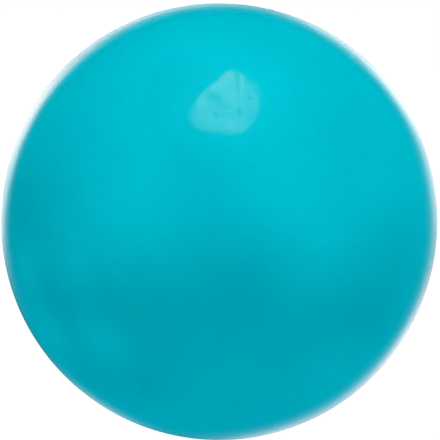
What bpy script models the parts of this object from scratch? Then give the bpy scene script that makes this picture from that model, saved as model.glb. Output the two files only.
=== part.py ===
"""Solid rubber ball: a core, and round it a cover moulded from two half cups.

The mould axis is Y and the origin is the ball's centre. The half cups meet on the parting plane,
y = 0, and the flash that squeezes out there is buffed off, which leaves a narrow flat band.
"""

import math

import bmesh
import bpy

# Driving sizes, in metres
BALL_DIAMETER = 0.0635
COVER_WALL = 0.004
BOND_CLEARANCE = 0.0003
TRIM_BAND_WIDTH = 0.0016

# Facets in a full turn about the mould axis, and from a pole to the parting plane
TURN_STEPS = 64
ARC_STEPS = 16

# The points of a pole that are closer than this are one point
POLE_MERGE = 0.000001
SHARP_ANGLE = math.radians(40)

# Which way each half of the mould opens along Y
FRONT = -1
REAR = 1

COVER_COLOUR = (0.003, 0.47, 0.57, 1.0)
COVER_ROUGHNESS = 0.4
CORE_COLOUR = (0.035, 0.036, 0.038, 1.0)
CORE_ROUGHNESS = 0.75

ball_radius = BALL_DIAMETER / 2
cavity_radius = ball_radius - COVER_WALL
core_radius = cavity_radius - BOND_CLEARANCE


def clear_scene():
    for old in list(bpy.data.objects):
        bpy.data.objects.remove(old, do_unlink=True)


def rubber(name, colour, roughness):
    material = bpy.data.materials.new(name)
    material.use_nodes = True
    shader = material.node_tree.nodes["Principled BSDF"]
    shader.inputs["Base Color"].default_value = colour
    shader.inputs["Roughness"].default_value = roughness
    shader.inputs["Metallic"].default_value = 0.0
    return material


def arc(radius, first, last, steps):
    """Points of a circle as (reach from the axis, height along it), by angle from the pole."""
    points = []
    for step in range(steps + 1):
        angle = first + (last - first) * step / steps
        points.append((radius * math.sin(angle), radius * math.cos(angle)))
    return points


def core_profile():
    """A half circle, from pole to pole."""
    return arc(core_radius, 0.0, math.pi, 2 * ARC_STEPS)


def cup_profile():
    """Outer skin from the pole to the trim band, the band, the flat rim, then the cavity."""
    band_angle = math.acos(TRIM_BAND_WIDTH / 2 / ball_radius)
    band_reach = ball_radius * math.sin(band_angle)
    skin = arc(ball_radius, 0.0, band_angle, ARC_STEPS)
    cavity = arc(cavity_radius, math.pi / 2, 0.0, ARC_STEPS)
    return skin + [(band_reach, 0.0)] + cavity


def turn(name, profile, side, material, holder):
    """A solid of revolution about Y, with the profile's heights measured towards one side."""
    shape = bmesh.new()
    line = [shape.verts.new((reach, side * height, 0.0)) for reach, height in profile]
    edges = [shape.edges.new(pair) for pair in zip(line, line[1:])]
    bmesh.ops.spin(
        shape,
        geom=line + edges,
        cent=(0.0, 0.0, 0.0),
        axis=(0.0, 1.0, 0.0),
        angle=math.tau,
        steps=TURN_STEPS,
        use_merge=True,
    )
    bmesh.ops.remove_doubles(shape, verts=shape.verts, dist=POLE_MERGE)
    bmesh.ops.recalc_face_normals(shape, faces=shape.faces)

    mesh = bpy.data.meshes.new(name)
    shape.to_mesh(mesh)
    shape.free()
    mesh.materials.append(material)
    mesh.shade_smooth()
    mesh.set_sharp_from_angle(angle=SHARP_ANGLE)
    piece = bpy.data.objects.new(name, mesh)
    piece.parent = holder
    bpy.context.collection.objects.link(piece)
    return piece


def main():
    clear_scene()
    holder = bpy.data.objects.new("ball", None)
    bpy.context.collection.objects.link(holder)

    core_rubber = rubber("core_rubber", CORE_COLOUR, CORE_ROUGHNESS)
    cover_rubber = rubber("cover_rubber", COVER_COLOUR, COVER_ROUGHNESS)
    turn("core", core_profile(), REAR, core_rubber, holder)
    turn("front_cover", cup_profile(), FRONT, cover_rubber, holder)
    turn("rear_cover", cup_profile(), REAR, cover_rubber, holder)


main()
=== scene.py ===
import math

import bmesh
import bpy
from mathutils import Matrix, Vector


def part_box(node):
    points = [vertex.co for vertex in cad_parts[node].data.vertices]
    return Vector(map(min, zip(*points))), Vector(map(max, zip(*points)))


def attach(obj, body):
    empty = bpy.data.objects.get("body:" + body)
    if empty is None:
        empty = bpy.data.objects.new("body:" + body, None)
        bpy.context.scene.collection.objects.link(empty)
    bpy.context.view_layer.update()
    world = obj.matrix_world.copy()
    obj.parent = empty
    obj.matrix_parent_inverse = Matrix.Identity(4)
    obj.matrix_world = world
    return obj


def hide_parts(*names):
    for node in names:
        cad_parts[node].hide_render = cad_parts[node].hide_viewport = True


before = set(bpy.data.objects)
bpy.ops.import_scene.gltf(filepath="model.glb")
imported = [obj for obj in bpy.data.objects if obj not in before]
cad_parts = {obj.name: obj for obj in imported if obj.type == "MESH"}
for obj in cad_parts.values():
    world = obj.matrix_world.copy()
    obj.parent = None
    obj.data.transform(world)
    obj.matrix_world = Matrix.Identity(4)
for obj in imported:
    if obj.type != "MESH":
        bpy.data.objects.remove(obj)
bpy.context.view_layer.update()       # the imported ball, in metres, with the origin at its centre

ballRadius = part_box("rear_cover")[1].y
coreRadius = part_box("core")[1].y
bondClearance = 0.0003                      # between the core and the cover's cavity
cavityRadius = coreRadius + bondClearance
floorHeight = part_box("front_cover")[0].z
print("frame loaded: ball radius", round(ballRadius * 1000, 2), "mm")


# a point at an azimuth and elevation in degrees, counted from the side that faces the camera
def onBall(azimuth, elevation, radius):
    turn, rise = math.radians(azimuth), math.radians(elevation)
    level = math.cos(rise)
    return Vector((math.sin(turn) * level, -math.cos(turn) * level, math.sin(rise))) * radius


# small helpers for node trees

def feed(tree, socket, value):
    if isinstance(value, bpy.types.NodeSocket):
        tree.links.new(value, socket)
    else:
        socket.default_value = value


def addNode(tree, kind, settings=None, inputs=None):
    node = tree.nodes.new(kind)
    for name, value in (settings or {}).items():
        setattr(node, name, value)
    for key, value in (inputs or {}).items():
        feed(tree, node.inputs[key], value)
    return node


def maths(tree, operation, *values):
    node = addNode(tree, "ShaderNodeMath", {"operation": operation}, dict(enumerate(values)))
    return node.outputs[0]


def vectors(tree, operation, *values):
    node = addNode(tree, "ShaderNodeVectorMath", {"operation": operation}, dict(enumerate(values)))
    return node.outputs["Value" if operation in ("LENGTH", "DISTANCE") else "Vector"]


def scaled(tree, vector, factor):
    node = addNode(tree, "ShaderNodeVectorMath", {"operation": "SCALE"}, {0: vector, "Scale": factor})
    return node.outputs["Vector"]


def noise(tree, place, size, detail=2.0, roughness=0.5):
    inputs = {"Vector": place, "Scale": 1.0 / size, "Detail": detail, "Roughness": roughness}
    return addNode(tree, "ShaderNodeTexNoise", None, inputs).outputs[0]


def remap(tree, value, low, high, toLow, toHigh):
    inputs = {"Value": value, "From Min": low, "From Max": high, "To Min": toLow, "To Max": toHigh}
    return addNode(tree, "ShaderNodeMapRange", None, inputs).outputs[0]


# a soft bell shape, 1 in the middle
def hump(tree, value, width):
    squared = maths(tree, "POWER", maths(tree, "DIVIDE", value, width), 2.0)
    return maths(tree, "EXPONENT", maths(tree, "MULTIPLY", squared, -1.0))


# level along a value, from pairs of value and level
def ramp(tree, value, stops):
    first, last = stops[0][0], stops[-1][0]
    node = addNode(tree, "ShaderNodeValToRGB", None, {0: remap(tree, value, first, last, 0.0, 1.0)})
    points = node.color_ramp.elements
    for spare in list(points)[1:]:
        points.remove(spare)
    for index, (at, level) in enumerate(stops):
        place = (at - first) / (last - first)
        point = points[0] if index == 0 else points.new(place)
        point.position = place
        point.color = (level, level, level, 1.0)
    return node.outputs[0]


def mixColour(tree, factor, first, second):
    node = addNode(tree, "ShaderNodeMix", {"data_type": "RGBA"}, {"Factor": factor})
    feed(tree, node.inputs[6], first)
    feed(tree, node.inputs[7], second)
    return node.outputs[2]


# turquoise cover rubber, with cloudy pigment, painted reflections and painted shade in soft spots, a painted
# highlight mottle, dull patches, a few faint marks and a fine moulded grain

coverFinish = {
    "deepTone": (0.0, 0.354, 0.451, 1.0),
    "paleTone": (0.0, 0.460, 0.565, 1.0),
    "cloudSize": 0.016,
    "cloudShare": 0.35,
    "mottleSize": 0.0035,
    "mottleShare": 0.12,
    # soft paler and darker places, most of them painted reflections and painted shade: azimuth, elevation,
    # radius, strength
    "paintedLightAndToneSpots": [
        (-21, 12, 0.0080, 0.60), (21, 7, 0.0085, 0.50),                                 # two pale lobes, painted reflections
        (8, -2, 0.0060, -0.45), (-1, 5, 0.0090, -0.20), (-6, 22, 0.0050, -0.30),        # painted shade between them
        (2, 34, 0.0080, 0.45), (-28, 41, 0.0070, 0.20), (18, 45, 0.0050, 0.20),         # painted sheen near the top,
        (-8, 56, 0.0055, 0.20), (-16, 44, 0.0050, -0.20),                               # with painted shade in one place
        (42, 32, 0.0100, -0.15), (-52, 17, 0.0080, -0.20), (-63, 9, 0.0070, -0.40),     # painted shade at the sides,
        (50, 2, 0.0065, -0.30), (45, 15, 0.0045, 0.20),                                 # with a painted paler place
        (-30, -11, 0.0045, -0.40), (-46, -13, 0.0050, -0.50), (-14, -10, 0.0065, -0.20),    # painted shade, a darker band
        (32, -13, 0.0060, -0.20), (46, -18, 0.0055, -0.30), (7, -14, 0.0080, -0.15),
        (-56, -6, 0.0035, 0.50), (-36, -4, 0.0045, 0.40), (-50, -20, 0.0040, 0.50),     # painted reflections, pale streaks
        (-33, -18, 0.0035, 0.40), (-29, -23, 0.0040, 0.50),
        (2, -26, 0.0080, 0.25), (32, -28, 0.0055, 0.30),                                # painted light underneath,
        (-46, -37, 0.0055, -0.40), (-24, -33, 0.0050, -0.20),                           # painted shade at the left
        (150, 25, 0.0090, 0.30), (-140, -10, 0.0080, -0.25),                            # paler and darker pigment at the back
        (-170, -35, 0.0085, 0.30), (110, -30, 0.0080, -0.30),
    ],
    "marks": [      # small faint ones, given in the same way
        (43.7, 1.0, 0.00030, 0.40), (22.6, -39.9, 0.00035, 0.45), (-4.1, -8.0, 0.00025, 0.30),
        (5.5, -41.4, 0.00060, -0.25), (-100.0, 30.0, 0.00035, 0.40), (140.0, -20.0, 0.00040, 0.40),
        (175.0, 35.0, 0.00050, -0.30), (-160.0, 5.0, 0.00035, 0.45),
    ],
    "wornAndHighlightColour": (0.014, 0.450, 0.550, 1.0),   # on the worn parting line, and as a pale mottle in the scuffed places; in the scuffed place under the highlight this mottle is a painted highlight mottle
    "dustAndHighlightSize": 0.0014,
    "dustAndHighlightRange": (0.42, 0.62),  # part of the noise over which it comes in
    "wornShare": 0.40,
    "gloss": 0.046,
    "bloom": 0.30,              # the faint bloom of rubber, paler towards the outline
    "bloomRoughness": 0.3,
    "bloomTint": (0.0, 0.8, 1.0, 1.0),
    "roughness": (0.06, 0.10),  # of glossier and duller patches
    "scuffed": (0.02, 0.05),    # the same between the coarser grain of a scuffed place
    "dullSize": 0.0024,
    "dullRange": (0.40, 0.64),
    "buffed": 0.45,             # added to the roughness along the parting line
    "grainSize": 0.00042,
    "grainHeight": 0.0000009,
    "scuffedSize": 0.0006,      # coarser grain where scuffed
    "scuffedHeight": 0.000012,
    # pinprick pocks, too small for the mesh: azimuth, elevation, depth
    "pocks": [
        (10.2, 40.8, 0.000032), (6.3, 37.2, 0.000028), (6.8, 35.9, 0.000032), (2.1, 37.3, 0.000058),
        (-1.1, 35.4, 0.000045), (-80.0, -20.0, 0.000030), (155.0, 12.0, 0.000030),
    ],
    "pockRadius": 0.00034,
}


def makeCoverRubber(spec):
    material = bpy.data.materials.new("turquoiseRubber")
    material.use_nodes = True
    tree = material.node_tree
    shader = tree.nodes["Principled BSDF"]
    place = addNode(tree, "ShaderNodeTexCoord").outputs["Object"]

    def uneven(size, share, detail):
        around = maths(tree, "SUBTRACT", noise(tree, place, size, detail), 0.5)
        return maths(tree, "MULTIPLY", around, share)

    # the pigment's tone, cloudy at random, with the spots' painted reflections and painted shade added in
    toneAndPaintedLight = maths(tree, "ADD", 0.5, uneven(spec["cloudSize"], spec["cloudShare"], 2.0))
    toneAndPaintedLight = maths(tree, "ADD", toneAndPaintedLight, uneven(spec["mottleSize"], spec["mottleShare"], 3.0))
    for azimuth, elevation, radius, strength in spec["paintedLightAndToneSpots"] + spec["marks"]:
        gap = vectors(tree, "DISTANCE", place, onBall(azimuth, elevation, ballRadius))
        toneAndPaintedLight = maths(tree, "ADD", toneAndPaintedLight, maths(tree, "MULTIPLY", hump(tree, gap, radius), strength))
    pigment = mixColour(tree, toneAndPaintedLight, spec["deepTone"], spec["paleTone"])

    # worn along the parting line, and here and there in the middle of the scuffed places, where under the
    # highlight it is a painted highlight mottle
    worn = addNode(tree, "ShaderNodeAttribute", {"attribute_name": "wear"}).outputs["Fac"]
    pigment = mixColour(tree, worn, pigment, spec["wornAndHighlightColour"])
    scuff = addNode(tree, "ShaderNodeAttribute", {"attribute_name": "scuff"}).outputs["Fac"]
    dustAndHighlightMottle = noise(tree, place, spec["dustAndHighlightSize"], 3.0, 0.6)
    dustAndHighlightMottle = remap(tree, dustAndHighlightMottle, *spec["dustAndHighlightRange"], 0.0, spec["wornShare"])
    dustAndHighlightMottle = maths(tree, "MULTIPLY", maths(tree, "MULTIPLY", dustAndHighlightMottle, scuff), scuff)
    pigment = mixColour(tree, dustAndHighlightMottle, pigment, spec["wornAndHighlightColour"])
    feed(tree, shader.inputs["Base Color"], pigment)

    dull = noise(tree, place, spec["dullSize"], 3.0, 0.55)
    blend = addNode(tree, "ShaderNodeMix", None, {
        "Factor": scuff,
        2: remap(tree, dull, *spec["dullRange"], *spec["roughness"]),
        3: remap(tree, dull, *spec["dullRange"], *spec["scuffed"]),
    })
    buffed = maths(tree, "MULTIPLY", worn, spec["buffed"])
    feed(tree, shader.inputs["Roughness"], maths(tree, "ADD", blend.outputs[0], buffed))

    height = maths(tree, "MULTIPLY", noise(tree, place, spec["grainSize"], 3.0, 0.6), spec["grainHeight"])
    coarse = maths(tree, "MULTIPLY", noise(tree, place, spec["scuffedSize"], 2.0), spec["scuffedHeight"])
    height = maths(tree, "ADD", height, maths(tree, "MULTIPLY", coarse, scuff))
    for azimuth, elevation, depth in spec["pocks"]:
        gap = vectors(tree, "DISTANCE", place, onBall(azimuth, elevation, ballRadius))
        dent = maths(tree, "MULTIPLY", hump(tree, gap, spec["pockRadius"]), depth)
        height = maths(tree, "SUBTRACT", height, dent)
    bump = addNode(tree, "ShaderNodeBump", None, {"Height": height, "Distance": 1.0})
    feed(tree, shader.inputs["Normal"], bump.outputs[0])

    shader.inputs["Specular IOR Level"].default_value = spec["gloss"]
    shader.inputs["Sheen Weight"].default_value = spec["bloom"]
    shader.inputs["Sheen Roughness"].default_value = spec["bloomRoughness"]
    shader.inputs["Sheen Tint"].default_value = spec["bloomTint"]
    return material


# dark compound of the core, speckled with filler

coreFinish = {
    "darkTone": (0.022, 0.023, 0.025, 1.0),
    "greyTone": (0.060, 0.062, 0.066, 1.0),
    "crumbSize": 0.0012,
    "crumbHeight": 0.00004,
    "toneRange": (0.35, 0.7),   # parts of the noise over which tone and roughness change
    "roughRange": (0.3, 0.7),
    "roughness": (0.65, 0.85),
}


def makeCoreRubber(spec):
    material = bpy.data.materials.new("coreCompound")
    material.use_nodes = True
    tree = material.node_tree
    shader = tree.nodes["Principled BSDF"]
    place = addNode(tree, "ShaderNodeTexCoord").outputs["Object"]
    crumb = noise(tree, place, spec["crumbSize"], 4.0, 0.65)
    filler = remap(tree, crumb, *spec["toneRange"], 0.0, 1.0)
    feed(tree, shader.inputs["Base Color"], mixColour(tree, filler, spec["darkTone"], spec["greyTone"]))
    feed(tree, shader.inputs["Roughness"], remap(tree, crumb, *spec["roughRange"], *spec["roughness"]))
    bump = addNode(tree, "ShaderNodeBump", None, {"Height": crumb, "Distance": spec["crumbHeight"]})
    feed(tree, shader.inputs["Normal"], bump.outputs[0])
    return material


coverRubber = makeCoverRubber(coverFinish)
coreRubber = makeCoreRubber(coreFinish)
print("materials ready")


# cover halves: a square grid wrapped into a half ball, then made uneven as moulded rubber is

coverSkin = {
    "cells": 300,                # quads along each side of the grid
    "cavityCells": 32,
    "rimCrowd": 0.7,             # the last rings lie closer together, towards the parting line
    "rimReach": 0.02,
    "swayHeight": 0.000030,      # slow unevenness, up and down
    "swaySize": 0.016,
    "peelHeight": 0.000010,      # orange peel, up and down
    "peelSize": 0.0024,
    "scuffHeight": 0.000045,     # rougher where the ball was scuffed
    "scuffSize": 0.0016,
    # scuffed places: azimuth, elevation, radius
    "scuffs": [(3.0, 40.5, 0.0065), (-75.0, -25.0, 0.0060), (150.0, 15.0, 0.0070), (-130.0, 45.0, 0.0060)],
    "pits": [                    # scattered moulding pits: points per square metre, radius, depth
        {"density": 3000.0, "radius": 0.00085, "depth": 0.000006, "seed": 11},
        {"density": 1600.0, "radius": 0.0019, "depth": 0.000010, "seed": 23},
    ],
    "pitMargin": 0.0025,         # pits fade out this close to the parting line
    "lipHeight": 0.00008,        # what is left of the trimmed flash
    "lipWidth": 0.00024,
    "lipSize": 0.0050,           # of its higher and lower stretches
    "lipRange": (0.3, 0.7),
    "lipLeast": 0.35,
    "buffedWidth": 0.0008,       # half the band where the flash was buffed off
    "buffedEven": 0.7,           # share of it before the wear fades
    "buffedWear": 0.6,           # next to 1 on the line itself
    "sharpAngle": 45,            # edges over this many degrees, at the rim, stay sharp
}

# nicks in each half, as azimuth and elevation in degrees of both ends
nicks = {
    "radius": 0.00055,
    "depth": 0.000036,
    "front_skin": [((7.2, 47.4), (6.6, 42.4)), ((6.3, 37.2), (6.8, 35.8))],
    "rear_skin": [((160.0, 20.0), (164.0, 18.0))],
}


def makeSkinTree(spec, name, side):
    tree = bpy.data.node_groups.new("coverSkin_" + name, "GeometryNodeTree")
    sockets = tree.interface
    sizes = {"Radius": ballRadius, "Cavity Radius": cavityRadius, "Sway Height": spec["swayHeight"],
             "Peel Height": spec["peelHeight"], "Scuff Height": spec["scuffHeight"],
             "Lip Height": spec["lipHeight"], "Nick Depth": nicks["depth"]}
    sockets.new_socket("Geometry", in_out="INPUT", socket_type="NodeSocketGeometry")
    for label in sizes:
        sockets.new_socket(label, in_out="INPUT", socket_type="NodeSocketFloat")
    sockets.new_socket("Cells", in_out="INPUT", socket_type="NodeSocketInt")
    sockets.new_socket("Rubber", in_out="INPUT", socket_type="NodeSocketMaterial")
    sockets.new_socket("Geometry", in_out="OUTPUT", socket_type="NodeSocketGeometry")
    given = addNode(tree, "NodeGroupInput").outputs

    def calc(operation, *values):
        return maths(tree, operation, *values)

    def gridOf(cells):
        count = calc("ADD", cells, 1)
        inputs = {"Size X": 2.0, "Size Y": 2.0, "Vertices X": count, "Vertices Y": count}
        return addNode(tree, "GeometryNodeMeshGrid", None, inputs).outputs["Mesh"]

    def moved(geometry, position):
        inputs = {"Geometry": geometry, "Position": position}
        return addNode(tree, "GeometryNodeSetPosition", None, inputs).outputs[0]

    def pick(test, ifFalse, ifTrue):
        inputs = {"Switch": test, "False": ifFalse, "True": ifTrue}
        return addNode(tree, "GeometryNodeSwitch", {"input_type": "FLOAT"}, inputs).outputs[0]

    # each square ring of the grid becomes a round ring of the half ball
    position = addNode(tree, "GeometryNodeInputPosition").outputs[0]
    flat = addNode(tree, "ShaderNodeSeparateXYZ", None, {0: position})
    across, along = flat.outputs[0], flat.outputs[1]
    sideways = calc("GREATER_THAN", calc("ABSOLUTE", across), calc("ABSOLUTE", along))
    ring = pick(sideways, along, across)
    other = pick(sideways, across, along)
    swing = calc("MULTIPLY", calc("DIVIDE", other, ring), math.pi / 4)
    cosine = calc("MULTIPLY", calc("SIGN", ring), calc("COSINE", swing))
    sine = calc("MULTIPLY", calc("SIGN", ring), calc("SINE", swing))
    inward = calc("SUBTRACT", 1.0, calc("ABSOLUTE", ring))
    crowd = calc("EXPONENT", calc("DIVIDE", inward, -spec["rimReach"]))
    drawn = calc("MULTIPLY", inward, calc("SUBTRACT", 1.0, calc("MULTIPLY", spec["rimCrowd"], crowd)))
    tilt = calc("MULTIPLY", calc("SUBTRACT", 1.0, drawn), math.pi / 2)
    spread = calc("SINE", tilt)
    outward = addNode(tree, "ShaderNodeCombineXYZ", None, {
        0: calc("MULTIPLY", spread, pick(sideways, sine, cosine)),
        1: calc("MULTIPLY", side, calc("COSINE", tilt)),
        2: calc("MULTIPLY", spread, pick(sideways, cosine, sine)),
    }).outputs[0]
    place = scaled(tree, outward, given["Radius"])
    fromRim = calc("ABSOLUTE", addNode(tree, "ShaderNodeSeparateXYZ", None, {0: place}).outputs[1])

    def uneven(size, detail, height):
        around = calc("SUBTRACT", noise(tree, place, size, detail), 0.5)
        return calc("MULTIPLY", around, height)

    # slow unevenness and orange peel
    sway = uneven(spec["swaySize"], 1.0, given["Sway Height"])
    peel = uneven(spec["peelSize"], 1.0, given["Peel Height"])
    height = calc("ADD", calc("MULTIPLY", sway, 2.0), calc("MULTIPLY", peel, 2.0))

    # scuffed places
    scuff = 0.0
    for azimuth, elevation, radius in spec["scuffs"]:
        gap = vectors(tree, "DISTANCE", place, onBall(azimuth, elevation, ballRadius))
        scuff = calc("ADD", scuff, hump(tree, gap, radius))
    rough = uneven(spec["scuffSize"], 2.0, given["Scuff Height"])
    height = calc("ADD", height, calc("MULTIPLY", rough, scuff))

    # moulding pits, none of them on the parting line
    grid = gridOf(given["Cells"])
    smooth = moved(grid, place)
    margin = remap(tree, fromRim, 0.0, spec["pitMargin"], 0.0, 1.0)
    for pit in spec["pits"]:
        dots = addNode(tree, "GeometryNodeDistributePointsOnFaces", None,
                       {"Mesh": smooth, "Density": pit["density"], "Seed": pit["seed"] + (side > 0)})
        gap = addNode(tree, "GeometryNodeProximity", {"target_element": "POINTS"},
                      {0: dots.outputs["Points"], "Sample Position": place}).outputs["Distance"]
        dent = calc("MULTIPLY", hump(tree, gap, pit["radius"] / 2), margin)
        height = calc("SUBTRACT", height, calc("MULTIPLY", dent, pit["depth"]))

    # nicks and scratches
    cuts = addNode(tree, "GeometryNodeJoinGeometry")
    for start, end in nicks[name]:
        ends = {"Start Location": onBall(*start, ballRadius), "Offset": onBall(*end, ballRadius)}
        cut = addNode(tree, "GeometryNodeMeshLine", {"mode": "END_POINTS"}, {"Count": 2, **ends})
        tree.links.new(cut.outputs[0], cuts.inputs[0])
    gap = addNode(tree, "GeometryNodeProximity", {"target_element": "EDGES"},
                  {0: cuts.outputs[0], "Sample Position": place}).outputs["Distance"]
    nicked = hump(tree, gap, nicks["radius"] / 2)
    height = calc("SUBTRACT", height, calc("MULTIPLY", nicked, given["Nick Depth"]))

    # trimmed flash along the parting line, higher in some places than in others
    left = noise(tree, place, spec["lipSize"], 3.0, 0.7)
    left = remap(tree, left, *spec["lipRange"], spec["lipLeast"], 1.0)
    lip = calc("MULTIPLY", hump(tree, fromRim, spec["lipWidth"]), left)
    height = calc("ADD", height, calc("MULTIPLY", lip, given["Lip Height"]))
    fadeFrom = spec["buffedWidth"] * spec["buffedEven"]
    buffed = calc("MULTIPLY", remap(tree, fromRim, fadeFrom, spec["buffedWidth"], 1.0, 0.0), left)
    wear = calc("MAXIMUM", lip, calc("MULTIPLY", buffed, spec["buffedWear"]))

    # wear and scuffs go to the material; they are stored while the grid is flat, as every place on the
    # ball is worked out from the flat grid
    skin = grid
    for label, value in (("wear", wear), ("scuff", scuff)):
        skin = addNode(tree, "GeometryNodeStoreNamedAttribute", {"data_type": "FLOAT", "domain": "POINT"},
                       {"Geometry": skin, "Name": label, "Value": value}).outputs[0]
    skin = moved(skin, scaled(tree, outward, calc("ADD", given["Radius"], height)))
    cavity = moved(gridOf(spec["cavityCells"]), scaled(tree, outward, given["Cavity Radius"]))

    walls = addNode(tree, "GeometryNodeJoinGeometry")
    tree.links.new(cavity, walls.inputs[0])
    tree.links.new(skin, walls.inputs[0])
    real = addNode(tree, "GeometryNodeRealizeInstances", None, {0: walls.outputs[0]}).outputs[0]
    clad = addNode(tree, "GeometryNodeSetMaterial", None, {"Geometry": real, "Material": given["Rubber"]})
    addNode(tree, "NodeGroupOutput", None, {0: clad.outputs[0]})
    return tree, {**sizes, "Cells": spec["cells"], "Rubber": coverRubber}


# joins the skin's rim to the cavity's
def closeRim(mesh):
    shape = bmesh.new()
    shape.from_mesh(mesh)
    rims = [edge for edge in shape.edges if edge.is_boundary]
    bmesh.ops.bridge_loops(shape, edges=rims)
    bmesh.ops.recalc_face_normals(shape, faces=shape.faces)
    shape.to_mesh(mesh)
    shape.free()
    mesh.shade_smooth()
    mesh.set_sharp_from_angle(angle=math.radians(coverSkin["sharpAngle"]))


def makeSkin(name, side):
    holder = bpy.data.objects.new(name + "_maker", bpy.data.meshes.new(name + "_maker"))
    bpy.context.scene.collection.objects.link(holder)
    tree, values = makeSkinTree(coverSkin, name, side)
    maker = holder.modifiers.new("coverSkin", "NODES")
    maker.node_group = tree
    for item in tree.interface.items_tree:
        if item.in_out == "INPUT" and item.name in values:
            maker[item.identifier] = values[item.name]
    made = holder.evaluated_get(bpy.context.evaluated_depsgraph_get())
    mesh = bpy.data.meshes.new_from_object(made)
    mesh.name = name
    bpy.data.objects.remove(holder)
    closeRim(mesh)
    piece = bpy.data.objects.new(name, mesh)
    bpy.context.scene.collection.objects.link(piece)
    triangles = sum(len(face.vertices) - 2 for face in mesh.polygons)
    print(name, len(mesh.vertices), "points", triangles, "triangles")
    return piece


frontSkin = makeSkin("front_skin", -1)
rearSkin = makeSkin("rear_skin", 1)
for skin, node in ((frontSkin, "front_cover"), (rearSkin, "rear_cover")):
    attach(skin, "root")
    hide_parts(node)

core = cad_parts["core"]
core.data.materials.clear()
core.data.materials.append(coreRubber)
print("ball dressed")


# floor: a plain table that glows white, as if lit from below, with a soft shadow laid in

floorPlan = {
    "size": 6.0,
    "colour": (0.10, 0.10, 0.10, 1.0),
    "roughness": 0.9,
    "glow": (1.0, 1.0, 1.0, 1.0),
    # levels of the painted contact shadow out from the contact, and of the painted soft shadow out from its
    # middle behind the ball
    "contact": [(0.0, 0.40), (0.003, 0.60), (0.0055, 0.93), (0.007, 1.0)],
    "shadow": [(0.0, 0.56), (0.004, 0.60), (0.009, 0.80), (0.0145, 1.0)],
    "shadowMiddle": (0.0, 0.012, 0.0),
}


def makeFloor(spec):
    half = spec["size"] / 2
    mesh = bpy.data.meshes.new("floor")
    corners = [(-half, -half, 0), (half, -half, 0), (half, half, 0), (-half, half, 0)]
    mesh.from_pydata(corners, [], [(0, 1, 2, 3)])
    floor = bpy.data.objects.new("floor", mesh)
    floor.location.z = floorHeight - coverSkin["lipHeight"]
    bpy.context.scene.collection.objects.link(floor)
    material = bpy.data.materials.new("table")
    material.use_nodes = True
    tree = material.node_tree
    shader = tree.nodes["Principled BSDF"]
    shader.inputs["Base Color"].default_value = spec["colour"]
    shader.inputs["Roughness"].default_value = spec["roughness"]
    shader.inputs["Specular IOR Level"].default_value = 0.0
    shader.inputs["Emission Color"].default_value = spec["glow"]
    place = addNode(tree, "ShaderNodeTexCoord").outputs["Object"]
    # painted contact shadow and painted soft shadow, taken off the table's glow
    contact = ramp(tree, vectors(tree, "LENGTH", place), spec["contact"])
    shadow = ramp(tree, vectors(tree, "DISTANCE", place, spec["shadowMiddle"]), spec["shadow"])
    glow = maths(tree, "MULTIPLY", contact, shadow)
    seen = addNode(tree, "ShaderNodeLightPath").outputs["Is Camera Ray"]
    feed(tree, shader.inputs["Emission Strength"], maths(tree, "MULTIPLY", glow, seen))
    mesh.materials.append(material)
    floor.visible_glossy = False
    floor.visible_shadow = False


makeFloor(floorPlan)
print("floor laid")


# camera, placed so that the ball's outline has the photo's radius and centre, in its 440 x 440 pixels

photoView = {
    "imageSize": 440,
    "elevation": 10.0,
    "lens": 135.0,
    "outlineRadius": 218.2,
    "outlineCentre": (219.2, 221.8),
    "clip": (0.01, 50.0),
}


def aim(thing, target):
    thing.rotation_mode = "QUATERNION"
    thing.rotation_quaternion = (Vector(target) - thing.location).to_track_quat("-Z", "Y")


def makeCamera(spec):
    data = bpy.data.cameras.new("photoCamera")
    data.lens = spec["lens"]
    data.clip_start, data.clip_end = spec["clip"]
    half = spec["imageSize"] / 2
    halfView = data.sensor_width / 2 / data.lens
    distance = ballRadius / math.sin(math.atan(spec["outlineRadius"] / half * halfView))
    camera = bpy.data.objects.new("photoCamera", data)
    camera.location = onBall(0.0, spec["elevation"], distance)
    bpy.context.scene.collection.objects.link(camera)
    pixel = halfView * distance / half
    rise = math.radians(spec["elevation"])
    right = Vector((1, 0, 0))
    up = Vector((0, math.sin(rise), math.cos(rise)))
    across, down = spec["outlineCentre"]
    aim(camera, (right * (half - across) + up * (down - half)) * pixel)
    bpy.context.scene.camera = camera
    return camera


camera = makeCamera(photoView)
bpy.context.scene.view_settings.view_transform = "Standard"
print("camera set")


# the point of the ball at a pixel of the photo, and the direction in which it mirrors the camera's ray
def mirrored(across, down):
    half = photoView["imageSize"] / 2
    halfView = camera.data.sensor_width / 2 / camera.data.lens
    ray = Vector(((across - half) / half * halfView, (half - down) / half * halfView, -1.0))
    ray = (camera.rotation_quaternion @ ray).normalized()
    ahead = -camera.location.dot(ray)       # to where the ray passes closest to the centre
    inside = ballRadius ** 2 + ahead ** 2 - camera.location.length_squared
    spot = camera.location + ray * (ahead - math.sqrt(inside))
    return spot, ray.reflect(spot.normalized())


# studio light: two cards cut to shape, then plain fills

# a card's right, its top and the direction in which it lies
def cardAxes(spec):
    facing = onBall(*spec["direction"], 1.0)
    top = Vector(spec["top"])
    top = (top - facing * top.dot(facing)).normalized()
    right = Vector((1, 0, 0))
    right = (right - facing * right.dot(facing) - top * right.dot(top)).normalized()
    return right, top, facing


# the place on a card that the ball mirrors at a pixel of the photo
def cardPlace(spec, across, down):
    right, top, facing = cardAxes(spec)
    spot, away = mirrored(across, down)
    met = spot + away * ((spec["distance"] - spot.dot(facing)) / away.dot(facing))
    return met.dot(right), met.dot(top)


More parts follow.
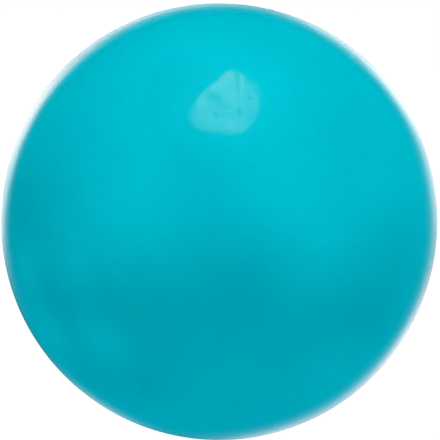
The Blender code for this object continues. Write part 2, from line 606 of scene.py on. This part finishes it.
# a card's outline runs to the right in the photo, and along the direction named as its top;
# each point has the share of its distance from the middle over which the edge fades
def makeCard(name, spec, outline, glowOf):
    right, top, facing = cardAxes(spec)
    inner = [(x * (1 - fade / 2), y * (1 - fade / 2), 0.0) for x, y, fade in outline]
    outer = [(x * (1 + fade / 2), y * (1 + fade / 2), 0.0) for x, y, fade in outline]
    count = len(inner)
    band = [(i, (i + 1) % count, count + (i + 1) % count, count + i) for i in range(count)]
    mesh = bpy.data.meshes.new(name)
    mesh.from_pydata(inner + outer, [], [tuple(range(count))] + band)
    edges = mesh.attributes.new("edge", "FLOAT", "POINT")
    edges.data.foreach_set("value", [1.0] * count + [0.0] * count)
    card = bpy.data.objects.new(name, mesh)
    card.matrix_world = Matrix((right, top, right.cross(top))).transposed().to_4x4()
    card.location = facing * spec["distance"]
    bpy.context.scene.collection.objects.link(card)
    material = bpy.data.materials.new(name)
    material.use_nodes = True
    tree = material.node_tree
    tree.nodes.clear()
    place = addNode(tree, "ShaderNodeTexCoord").outputs["Object"]
    edge = addNode(tree, "ShaderNodeAttribute", {"attribute_name": "edge"}).outputs["Fac"]
    glow = glowOf(tree, place, spec)
    light = addNode(tree, "ShaderNodeEmission", None, {"Color": glow, "Strength": edge})
    addNode(tree, "ShaderNodeOutputMaterial", None, {"Surface": light.outputs[0]})
    mesh.materials.append(material)
    card.visible_camera = False
    card.visible_shadow = False
    card.visible_diffuse = spec["lights"]


# overhead key, cut to the shape of the highlight, with a cloudy diffuser
keyBox = {
    "direction": (10.1, 71.3),      # azimuth and elevation of its middle, in degrees
    "distance": 0.5,
    "top": (0, 1, 0),
    # outline of the highlight, in the photo: pixel across, pixel down, fade
    "outline": [
        (231, 70, 0.14), (239, 74, 0.20), (246, 78, 0.40), (253, 85, 0.40), (257, 94, 0.25), (258, 104, 0.20),
        (257, 115, 0.20), (253, 123, 0.20), (242, 131, 0.20), (227, 135, 0.16), (213, 131, 0.18),
        (200, 128, 0.22), (193, 124, 0.28), (191, 116, 0.32), (192, 109, 0.30), (195, 102, 0.16),
        (200, 95, 0.10), (206, 90, 0.10), (214, 83, 0.10), (220, 80, 0.12), (225, 74, 0.18),
    ],
    "glow": (10.5, 10.5, 10.1),
    "leastLevel": 0.1,
    "cloudSize": 0.020,
    "cloudShare": 4.4,
    # brighter and duller places in it: pixel across, pixel down, radius on the card, share
    "patches": [
        (214, 86, 0.024, 1.00), (221, 83, 0.024, 0.70), (231, 77, 0.024, 0.75),         # upper left edge
        (200, 103, 0.018, 0.90), (201, 111, 0.018, 0.90), (205, 121, 0.020, 0.50),      # lower left
        (213, 96, 0.020, -1.00), (219, 101, 0.020, -0.50), (230, 117, 0.012, -0.30),    # dull middle
        (231, 99, 0.016, 1.00), (235, 93, 0.018, 1.10), (232, 124, 0.020, 1.50),        # and bright beside it
        (248, 79, 0.040, -0.35), (257, 112, 0.035, -0.35), (250, 122, 0.030, -0.30),    # duller right
    ],
    "lights": True,                 # the rubber itself, and not only its gloss
}


def keyGlow(tree, place, spec):
    cloud = maths(tree, "SUBTRACT", noise(tree, place, spec["cloudSize"], 3.0, 0.6), 0.5)
    level = maths(tree, "ADD", 1.0, maths(tree, "MULTIPLY", cloud, spec["cloudShare"]))
    for across, down, radius, share in spec["patches"]:
        gap = vectors(tree, "DISTANCE", place, (*cardPlace(spec, across, down), 0.0))
        level = maths(tree, "ADD", level, maths(tree, "MULTIPLY", hump(tree, gap, radius), share))
    return scaled(tree, spec["glow"], maths(tree, "MAXIMUM", level, spec["leastLevel"]))


keyOutline = [(*cardPlace(keyBox, across, down), fade) for across, down, fade in keyBox["outline"]]
makeCard("keyBox", keyBox, keyOutline, keyGlow)

# round card behind the ball, which shows only as the pale crescents along the rim
rimCard = {
    "direction": (180.0, -10.0),
    "distance": 0.5,
    "top": (0, 0, 1),
    "radius": 0.6,
    "sides": 32,
    "fade": 0.02,
    # each glow is brightest at its reach from the middle, and fades over one width towards the outline of
    # the ball and another inwards; its crescents are angles from the right, spreads and levels
    "glows": [{     # broad and bright, up at the left, and a little at the right
        "colour": (3.2, 2.5, 2.4), "reach": 0.32, "outwards": 0.22, "inwards": 0.09,
        "crescents": [(151, 24, 1.0), (40, 18, 0.4)],
    }, {            # softer, down the right
        "colour": (1.8, 1.3, 1.3), "reach": 0.26, "outwards": 0.20, "inwards": 0.15,
        "crescents": [(-72, 14, 0.4), (-36, 28, 0.95), (10, 14, 0.8)],
    }, {            # narrow, most of the way round
        "colour": (1.4, 1.4, 1.5), "reach": 0.22, "outwards": 0.30, "inwards": 0.11,
        "crescents": [(180, 11, 0.6), (-122, 12, 0.35), (-80, 10, 0.2), (-28, 15, 0.2),
                      (36, 14, 1.0), (62, 13, 0.75), (90, 15, 0.35), (113, 18, 0.7)],
    }],
    "lights": False,
}


def rimGlow(tree, place, spec):
    out = vectors(tree, "LENGTH", place)
    toward = vectors(tree, "NORMALIZE", place)
    total = (0.0, 0.0, 0.0)
    for glow in spec["glows"]:
        past = maths(tree, "SUBTRACT", out, glow["reach"])
        outer = hump(tree, maths(tree, "MINIMUM", past, 0.0), glow["outwards"])
        inner = hump(tree, maths(tree, "MAXIMUM", past, 0.0), glow["inwards"])
        level = 0.0
        for angle, spread, share in glow["crescents"]:
            turn = math.radians(angle)
            gap = vectors(tree, "DISTANCE", toward, (math.cos(turn), math.sin(turn), 0.0))
            bright = maths(tree, "MULTIPLY", hump(tree, gap, math.radians(spread)), share)
            level = maths(tree, "ADD", level, bright)
        level = maths(tree, "MULTIPLY", level, maths(tree, "MULTIPLY", outer, inner))
        total = vectors(tree, "ADD", total, scaled(tree, glow["colour"], level))
    return total


def roundOutline(spec):
    turns = [step * math.tau / spec["sides"] for step in range(spec["sides"])]
    radius, fade = spec["radius"], spec["fade"]
    return [(radius * math.cos(turn), radius * math.sin(turn), fade) for turn in turns]


makeCard("rimCard", rimCard, roundOutline(rimCard), rimGlow)

# plain fills: azimuth, elevation, distance, size, watts, colour
white = (1.0, 1.0, 1.0)
fills = {
    "tableGlow": (0.0, -90.0, 0.034, 1.2, 3.0, (0.94, 0.94, 1.0)),
    "leftFront": (-50.0, 10.0, 0.6, 0.4, 1.25, white),
    "rightFront": (50.0, 10.0, 0.6, 0.4, 1.4, white),
    "leftBack": (-115.0, -5.0, 0.6, 0.4, 1.1, white),
    "rightBack": (115.0, 0.0, 0.6, 0.4, 1.25, white),
    "lowBack": (180.0, -60.0, 0.6, 0.4, 1.2, white),
    "topBack": (180.0, 55.0, 0.6, 0.4, 0.9, white),
    "back": (180.0, -10.0, 0.5, 1.6, 2.5, white),
}


def makeFill(name, azimuth, elevation, distance, size, watts, colour):
    light = bpy.data.lights.new(name, "AREA")
    light.shape = "SQUARE"
    light.size = size
    light.energy = watts
    light.color = colour
    light.cycles.use_multiple_importance_sampling = False
    lamp = bpy.data.objects.new(name, light)
    lamp.location = onBall(azimuth, elevation, distance)
    bpy.context.scene.collection.objects.link(lamp)
    aim(lamp, (0, 0, 0))
    lamp.visible_glossy = False
    lamp.visible_camera = False


for name, values in fills.items():
    makeFill(name, *values)

room = {"ambient": 0.0, "backdrop": (1.0, 1.0, 1.0, 1.0)}
world = bpy.data.worlds.new("studio")
bpy.context.scene.world = world
world.use_nodes = True
worldTree = world.node_tree
ray = addNode(worldTree, "ShaderNodeLightPath").outputs["Is Camera Ray"]
strength = remap(worldTree, ray, 0.0, 1.0, room["ambient"], 1.0)
feed(worldTree, worldTree.nodes["Background"].inputs["Color"], room["backdrop"])
feed(worldTree, worldTree.nodes["Background"].inputs["Strength"], strength)
world.cycles_visibility.glossy = False
print("lights set")
